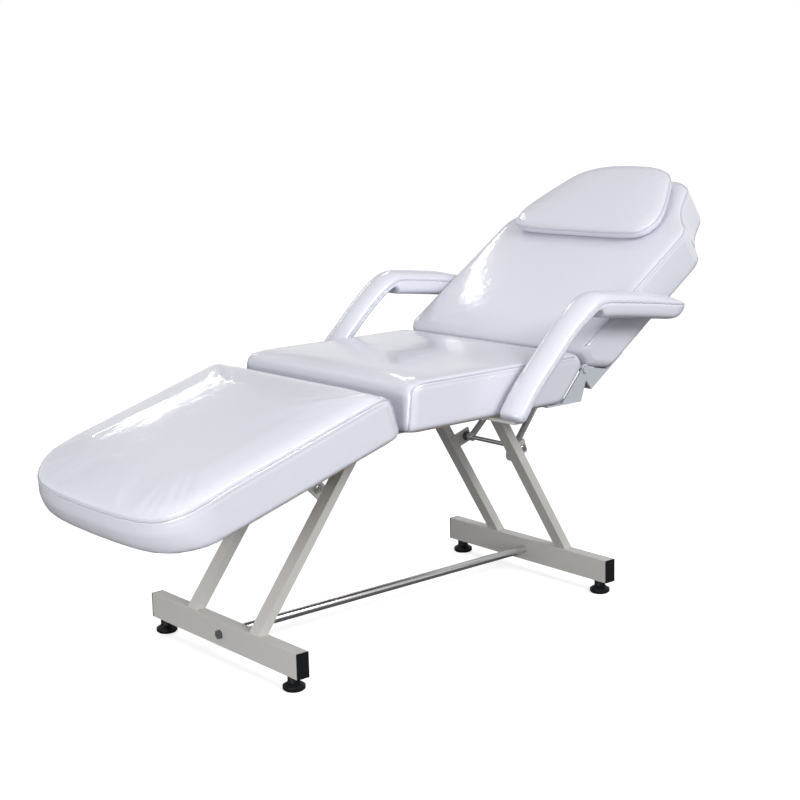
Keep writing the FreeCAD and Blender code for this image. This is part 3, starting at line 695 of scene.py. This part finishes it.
def make_leg_pad():
    low = constant(leg_end)
    high = level_of(leg_tip_levels)
    rings = pad_rings(leg_ring, leg_under, leg_seam, low, high, leg_crown_steps, end_roll)
    piece = remeshed(stacked("leg_rest_pad", rings, leg_panel, leg_settled), pad_voxel)
    ring = leg_ring(leg_end, leg_length, 0.0)
    around = beyond(ring, leg_end + end_roll, leg_length / 2, leg_seam_points)
    levels = [leg_seam_height(x) for x, _ in around]
    top = [(x, y, height) for (x, y), height in zip(around, levels)]
    lower = [(x, y, height - stitch_drop) for (x, y), height in zip(around, levels)]
    ends = []
    for side in (-1, 1):
        y = side * (half_width - seam_inset)
        ends.append(end_seam(low, y, leg_under, leg_seam_height(0)))
    path = placed(ends[0] + top + ends[1][::-1], leg_panel)
    stitches = [placed(lower, leg_panel)]
    beads = [("leg_rest_bead", path, False)]
    free_above = leg_seam - cloth_depth
    finish_pad(
        piece, leg_panel, free_above, beads, stitches, "leg_rest", "leg_cushion"
    )


def make_seat_pad():
    low = level_of([(seat_under, seat_front_low), (seat_seam, seat_front_top)])
    high = level_of(seat_rear_levels)
    rings = pad_rings(seat_ring, seat_under, seat_seam, low, high, crown_steps, end_roll)
    piece = remeshed(stacked("seat_pad", rings, chair), pad_voxel)
    beads = []
    stitches = []
    top_low = seat_front_top + end_roll
    top_high = seat_rear_levels[-1][1] - corner_radius
    for side, name in ((-1, "left"), (1, "right")):
        y = side * half_width
        path = end_seam(low, y, seat_under, seat_seam)
        places = np.linspace(top_low, top_high, seat_seam_points)
        path.extend((x, y, seat_seam) for x in places[1:])
        beads.append((f"seat_bead_{name}", np.array(path), False))
        line = [(x, y, seat_seam - stitch_drop) for x in places]
        stitches.append(np.array(line))
    free_above = seat_seam - cloth_depth
    piece, cords = finish_pad(
        piece, chair, free_above, beads, stitches, None, "seat_cushion"
    )
    for part in (piece, *cords):
        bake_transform(part)


def make_back_pad():
    low = level_of(back_end_levels)
    high = constant(back_length)
    rings = pad_rings(back_ring, back_under, back_seam, low, high, crown_steps, back_end_roll)
    piece = remeshed(stacked("back_pad", rings, back_panel), pad_voxel)
    top_low = back_end_levels[-1][1]
    ring = back_ring(top_low, back_length, 0.0)
    around = beyond(ring, top_low + corner_radius, back_length / 3, back_seam_points)
    beads = [("back_bead", level_path(around, back_seam, back_panel), False)]
    stitches = [level_path(around, back_seam - stitch_drop, back_panel)]
    free_above = back_seam - cloth_depth
    finish_pad(
        piece, back_panel, free_above, beads, stitches, "backrest", "back_cushion"
    )


def make_pillow():
    rings = []
    for height, inset in pillow_under_levels:
        rings.append((pillow_ring(inset), height))
    for inset, rise in pillow_crown_steps:
        rings.append((pillow_ring(inset), pillow_seam + rise))
    piece = remeshed(stacked("head_pillow_pad", rings, back_panel), small_voxel)
    path = level_path(pillow_ring(0.0), pillow_seam, back_panel)
    ring = pillow_ring(pillow_lower_inset)
    lower = level_path(ring, pillow_seam - pillow_lower_drop, back_panel)
    beads = [("pillow_bead", path, True)]
    stitches = [np.vstack([lower, lower[:1]])]
    free_above = pillow_seam - pillow_cloth_depth
    finish_pad(
        piece, back_panel, free_above, beads, stitches, "pillow", "head_pillow"
    )


# Armrests
def arm_section(half, dome, depth):
    """A domed top over a boxy underside, as (across, up) points that start at one seam."""
    section = []
    upper = arm_ring // 2
    for number in range(upper):
        turn = math.pi * number / upper
        section.append((half * math.cos(turn), dome * math.sin(turn) ** arm_dome_power))
    for number in range(arm_ring - upper):
        turn = math.pi * number / (arm_ring - upper)
        across = math.copysign(abs(math.cos(turn)) ** arm_box_power, math.cos(turn))
        section.append((-half * across, -depth * math.sin(turn) ** arm_box_power))
    return section


def arm_size(x, travelled, length):
    """Half width, dome and depth of an armrest at a place along it."""
    run = arm_depth_run / 2
    on_top = smooth_step(x, arm_elbow_x - run, arm_elbow_x + run)
    widened = smooth_step(x, *arm_widening)
    to_tip = min((length - travelled) / arm_tip_run, 1.0)
    to_foot = min(travelled / arm_foot_run, 1.0)
    tip = math.sqrt(max(1 - (1 - to_tip) ** 2, arm_least_tip))
    rounded = math.sqrt(max(1 - (1 - to_foot) ** 2, 0.0))
    foot = arm_foot_share + (1 - arm_foot_share) * rounded
    flat = math.sqrt(min((length - travelled) / arm_dome_run, 1.0))
    half = arm_slope_half + (arm_half_width - arm_slope_half) * widened
    dome = arm_slope_dome + (arm_top_dome - arm_slope_dome) * widened
    depth = arm_slope_depth + (arm_top_depth - arm_slope_depth) * on_top
    return half * tip * foot, dome * tip * foot * flat, depth * tip * tip * foot


def make_arm(side, name):
    path = spline(arm_places, arm_stations)
    steps = np.linalg.norm(np.diff(path, axis=0), axis=1)
    along = np.concatenate([[0], np.cumsum(steps)])
    headings = np.gradient(path, axis=0)
    headings /= np.linalg.norm(headings, axis=1)[:, None]
    centre = side * arm_centre_y
    vertices = []
    left_seam = []
    right_seam = []
    for place, heading, travelled in zip(path, headings, along):
        half, dome, depth = arm_size(place[0], travelled, along[-1])
        up = np.array([-heading[1], heading[0]])
        for across, height in arm_section(half, dome, depth):
            x, z = place + up * height
            vertices.append((x, centre + across, z))
        left_seam.append((place[0], centre - half, place[1]))
        right_seam.append((place[0], centre + half, place[1]))
    solid = mesh_object(f"arm_soft_{name}", vertices, ring_faces(arm_stations, arm_ring))
    piece = remeshed(solid, small_voxel)
    beads = []
    for label, seam in (("a", left_seam), ("b", right_seam)):
        path = resample(np.array(seam)[1:-1], arm_seam_points)
        beads.append((f"arm_bead_{name}_{label}", path, False))
    finish_pad(piece, chair, 0.0, beads, [], "frame", f"arm_pad_{name}")


make_leg_pad()
make_seat_pad()
make_back_pad()
make_pillow()
make_arm(-1, "left")
make_arm(1, "right")


# Looks. A cloud is a noise's scale with the lowest and highest roughness that it gives. A bump is
# a noise's scale, a depth in metres and a strength, and one that follows the cloud has no scale.
vinyl_color = (0.70, 0.71, 0.785)
# The piping is painted darker and bluer than the vinyl, as painted shade along the seams.
piping_painted_shade_color = (0.55, 0.565, 0.63)
vinyl_specular = 0.35
vinyl_coat = 0.8
vinyl_coat_roughness = 0.09
vinyl_cloud = (9.0, 0.30, 0.40)
vinyl_bumps = [(14.0, 0.004, 0.22), (42.0, 0.0012, 0.30), (900.0, 0.0002, 0.12)]
paint_color = (0.57, 0.553, 0.53)
paint_coat = 0.15
paint_cloud = (30.0, 0.34, 0.46)
paint_bumps = [(420.0, 0.0002, 0.15)]
metal_bump = (0.0001, 0.1)
plastic_bump = (0.0002, 0.2)
plywood_dark = (0.40, 0.29, 0.18)
plywood_light = (0.62, 0.50, 0.35)
plywood_roughness = 0.6
plywood_stretch = (3.0, 40.0, 40.0)
plywood_grain = 3.0
plywood_detail = 6.0
plywood_bump = (0.0003, 0.3)
cloud_detail = 4.0
bump_detail = 2.0
part_edge = 0.0006
edge_segments = 2
edge_angle = math.radians(40)
weld_distance = 0.00001


def new_material(name, color):
    material = bpy.data.materials.new(name)
    material.use_nodes = True
    nodes = material.node_tree.nodes
    shader = nodes["Principled BSDF"]
    shader.inputs["Base Color"].default_value = (*color, 1)
    return material, nodes, material.node_tree.links, shader


def noise(nodes, links, scale, detail):
    place = nodes.new("ShaderNodeTexCoord")
    texture = nodes.new("ShaderNodeTexNoise")
    texture.inputs["Scale"].default_value = scale
    texture.inputs["Detail"].default_value = detail
    links.new(place.outputs["Object"], texture.inputs["Vector"])
    return texture


def clouded(nodes, links, shader, cloud):
    """Roughness that runs between two values with a noise, which it returns."""
    scale, low, high = cloud
    texture = noise(nodes, links, scale, cloud_detail)
    change = nodes.new("ShaderNodeMapRange")
    change.inputs["To Min"].default_value = low
    change.inputs["To Max"].default_value = high
    links.new(texture.outputs["Fac"], change.inputs["Value"])
    links.new(change.outputs["Result"], shader.inputs["Roughness"])
    return texture


def bump(nodes, links, shader, layers):
    """Stacks bumps, each a (texture, depth, strength)."""
    last = None
    for texture, depth, strength in layers:
        node = nodes.new("ShaderNodeBump")
        node.inputs["Distance"].default_value = depth
        node.inputs["Strength"].default_value = strength
        links.new(texture.outputs["Fac"], node.inputs["Height"])
        if last:
            links.new(last.outputs["Normal"], node.inputs["Normal"])
        last = node
    links.new(last.outputs["Normal"], shader.inputs["Normal"])


def noise_bumps(nodes, links, shader, bumps):
    layers = []
    for scale, depth, strength in bumps:
        layers.append((noise(nodes, links, scale, bump_detail), depth, strength))
    bump(nodes, links, shader, layers)


def vinyl_material(name, color):
    """Its clear coat follows the same bumps."""
    material, nodes, links, shader = new_material(name, color)
    shader.inputs["Specular IOR Level"].default_value = vinyl_specular
    shader.inputs["Coat Weight"].default_value = vinyl_coat
    shader.inputs["Coat Roughness"].default_value = vinyl_coat_roughness
    clouded(nodes, links, shader, vinyl_cloud)
    noise_bumps(nodes, links, shader, vinyl_bumps)
    links.new(shader.inputs["Normal"].links[0].from_socket, shader.inputs["Coat Normal"])
    return material


def paint_material():
    material, nodes, links, shader = new_material("stand paint", paint_color)
    shader.inputs["Coat Weight"].default_value = paint_coat
    clouded(nodes, links, shader, paint_cloud)
    noise_bumps(nodes, links, shader, paint_bumps)
    return material


def plain_material(name, color, cloud, cloud_bump, metallic=0.0, specular=0.5):
    """One colour, with a roughness and a bump that follow the same noise."""
    material, nodes, links, shader = new_material(name, color)
    shader.inputs["Metallic"].default_value = metallic
    shader.inputs["Specular IOR Level"].default_value = specular
    texture = clouded(nodes, links, shader, cloud)
    bump(nodes, links, shader, [(texture, *cloud_bump)])
    return material


def plywood_material():
    material, nodes, links, shader = new_material("plywood", plywood_light)
    place = nodes.new("ShaderNodeTexCoord")
    stretch = nodes.new("ShaderNodeMapping")
    stretch.inputs["Scale"].default_value = plywood_stretch
    grain = nodes.new("ShaderNodeTexNoise")
    grain.inputs["Scale"].default_value = plywood_grain
    grain.inputs["Detail"].default_value = plywood_detail
    links.new(place.outputs["Object"], stretch.inputs["Vector"])
    links.new(stretch.outputs["Vector"], grain.inputs["Vector"])
    ramp = nodes.new("ShaderNodeValToRGB")
    ramp.color_ramp.elements[0].color = (*plywood_dark, 1)
    ramp.color_ramp.elements[1].color = (*plywood_light, 1)
    links.new(grain.outputs["Fac"], ramp.inputs["Fac"])
    links.new(ramp.outputs["Color"], shader.inputs["Base Color"])
    shader.inputs["Roughness"].default_value = plywood_roughness
    bump(nodes, links, shader, [(grain, *plywood_bump)])
    return material


chrome = plain_material("chrome", (0.70, 0.69, 0.70), (60.0, 0.20, 0.28), metal_bump, 1.0)
zinc = plain_material("zinc plate", (0.66, 0.69, 0.75), (90.0, 0.36, 0.50), metal_bump, 0.4)
dark = plain_material("dark steel", (0.10, 0.10, 0.105), (120.0, 0.35, 0.5), plastic_bump)
black = plain_material(
    "black plastic", (0.005, 0.006, 0.007), (120.0, 0.42, 0.55), plastic_bump, specular=0.25
)
materials = {
    "vinyl": vinyl_material("white vinyl", vinyl_color),
    "frame_paint": paint_material(),
    "bright_rod": chrome,
    "hinge_steel": zinc,
    "dark_steel": dark,
    "black_plastic": black,
    "plywood": plywood_material(),
}
slots = {part["node"]: part["material_slot"] for part in frame["record"]["subparts"]}


def dress(piece, material):
    piece.data.materials.clear()
    piece.data.materials.append(material)


for node_name, node in frame["nodes"].items():
    dress(node, materials[slots[node_name]])
    if node.hide_render:
        continue
    weld = node.modifiers.new("weld", "WELD")
    weld.merge_threshold = weld_distance
    soften = node.modifiers.new("edge", "BEVEL")
    soften.width = part_edge
    soften.segments = edge_segments
    soften.limit_method = "ANGLE"
    soften.angle_limit = edge_angle
    soften.harden_normals = True
# The piping material carries the painted shade of the seams: its colour is darker than the vinyl's.
piping = vinyl_material("piping", piping_painted_shade_color)
for piece in vinyl_pieces:
    dress(piece, materials["vinyl"])
for piece in bead_pieces:
    dress(piece, piping)

# Floor and light. A sky level is the sine of the height above the horizon and the brightness there.
floor_size = 60.0
floor_color = (0.80, 0.80, 0.80)
floor_roughness = 0.9
floor_glow = 0.62
floor_bounce = 0.17
pure_white = (1, 1, 1, 1)
sky_color = (0.985, 0.99, 1.0, 1)
sky_levels = [(0.0, 0.72), (0.30, 0.68), (0.60, 0.55), (1.0, 0.48)]
mirrored_levels = [(0.0, 0.95), (0.25, 0.90), (0.42, 0.42), (0.52, 0.45), (0.64, 0.85), (1.0, 0.85)]

# Each lamp's name, place, target, width, height, power in watts and turn in degrees
lamps = [
    ("key", (0.2, -3.4, 2.5), (0, 0, 0.45), 1.8, 1.2, 88, 0),
    ("foot side", (-3.4, -1.2, 0.75), (0, 0, 0.45), 1.6, 1.2, 54, 0),
    ("far strip", (0.62, 3.2, 1.95), (-0.5, 0.15, 0.45), 0.9, 0.09, 2.6, 0),
    ("back strip", (0.80, 1.4, 1.65), (0.47, 0.22, 0.75), 0.42, 0.075, 0.75, 34),
]


def white_floor():
    """Plain and pale. The camera sees it white outside the shadow, and other rays see it dim."""
    bpy.ops.mesh.primitive_plane_add(size=floor_size, location=(0, 0, 0))
    floor = bpy.context.object
    floor.name = "floor"
    material, nodes, links, shader = new_material("pale floor", floor_color)
    shader.inputs["Roughness"].default_value = floor_roughness
    shader.inputs["Specular IOR Level"].default_value = 0.0
    glow = nodes.new("ShaderNodeEmission")
    glow.inputs["Color"].default_value = pure_white
    glow.inputs["Strength"].default_value = floor_glow
    dim = nodes.new("ShaderNodeBsdfDiffuse")
    dim.inputs["Color"].default_value = (floor_bounce, floor_bounce, floor_bounce, 1)
    path = nodes.new("ShaderNodeLightPath")
    total = nodes.new("ShaderNodeAddShader")
    mix = nodes.new("ShaderNodeMixShader")
    links.new(shader.outputs["BSDF"], total.inputs[0])
    links.new(glow.outputs["Emission"], total.inputs[1])
    links.new(path.outputs["Is Camera Ray"], mix.inputs["Fac"])
    links.new(dim.outputs["BSDF"], mix.inputs[1])
    links.new(total.outputs["Shader"], mix.inputs[2])
    links.new(mix.outputs["Shader"], nodes["Material Output"].inputs["Surface"])
    dress(floor, material)


def area_light(name, place, target, width, height, power, turn):
    data = bpy.data.lights.new(name, "AREA")
    data.shape = "RECTANGLE"
    data.size = width
    data.size_y = height
    data.energy = power
    lamp = bpy.data.objects.new(name, data)
    lamp.location = place
    lamp.rotation_euler = (Vector(target) - Vector(place)).to_track_quat("-Z", "Y").to_euler()
    lamp.rotation_euler.rotate_axis("Z", math.radians(turn))
    bpy.context.scene.collection.objects.link(lamp)
    lamp.visible_camera = False


def sky_ramp(nodes, links, height, levels):
    """Brightness by height above the horizon."""
    ramp = nodes.new("ShaderNodeValToRGB")
    stops = ramp.color_ramp.elements
    for number, (sine, strength) in enumerate(levels):
        stop = stops[number] if number < 2 else stops.new(sine)
        stop.position = sine
        stop.color = (strength, strength, strength, 1)
    links.new(height, ramp.inputs["Fac"])
    return ramp.outputs["Color"]


def light_room():
    """Soft light all round. The camera sees it white, and mirrors see a band across it."""
    world = bpy.data.worlds.new("room")
    bpy.context.scene.world = world
    world.use_nodes = True
    nodes = world.node_tree.nodes
    links = world.node_tree.links
    nodes.clear()
    output = nodes.new("ShaderNodeOutputWorld")
    soft = nodes.new("ShaderNodeBackground")
    soft.inputs["Color"].default_value = sky_color
    place = nodes.new("ShaderNodeTexCoord")
    height = nodes.new("ShaderNodeSeparateXYZ")
    links.new(place.outputs["Generated"], height.inputs["Vector"])
    plain = sky_ramp(nodes, links, height.outputs["Z"], sky_levels)
    mirrored = sky_ramp(nodes, links, height.outputs["Z"], mirrored_levels)
    path = nodes.new("ShaderNodeLightPath")
    choice = nodes.new("ShaderNodeMix")
    choice.data_type = "FLOAT"
    links.new(path.outputs["Is Glossy Ray"], choice.inputs["Factor"])
    links.new(plain, choice.inputs["A"])
    links.new(mirrored, choice.inputs["B"])
    links.new(choice.outputs["Result"], soft.inputs["Strength"])
    white = nodes.new("ShaderNodeBackground")
    white.inputs["Color"].default_value = pure_white
    white.inputs["Strength"].default_value = 1.0
    mix = nodes.new("ShaderNodeMixShader")
    links.new(path.outputs["Is Camera Ray"], mix.inputs["Fac"])
    links.new(soft.outputs["Background"], mix.inputs[1])
    links.new(white.outputs["Background"], mix.inputs[2])
    links.new(mix.outputs["Shader"], output.inputs["Surface"])


white_floor()
light_room()
for lamp in lamps:
    area_light(*lamp)

# Camera
scene = bpy.context.scene
camera_data = bpy.data.cameras.new("camera")
camera_data.lens = camera_lens
camera_data.sensor_width = camera_sensor
camera_data.clip_end = camera_reach
camera = bpy.data.objects.new("camera", camera_data)
scene.collection.objects.link(camera)
camera.matrix_world = (
    Matrix.Translation(camera_place)
    @ Matrix.Rotation(camera_azimuth, 4, "Z")
    @ Matrix.Rotation(math.radians(90) - camera_elevation, 4, "X")
    @ Matrix.Rotation(camera_roll, 4, "Z")
)
scene.camera = camera
scene.view_settings.view_transform = "Standard"
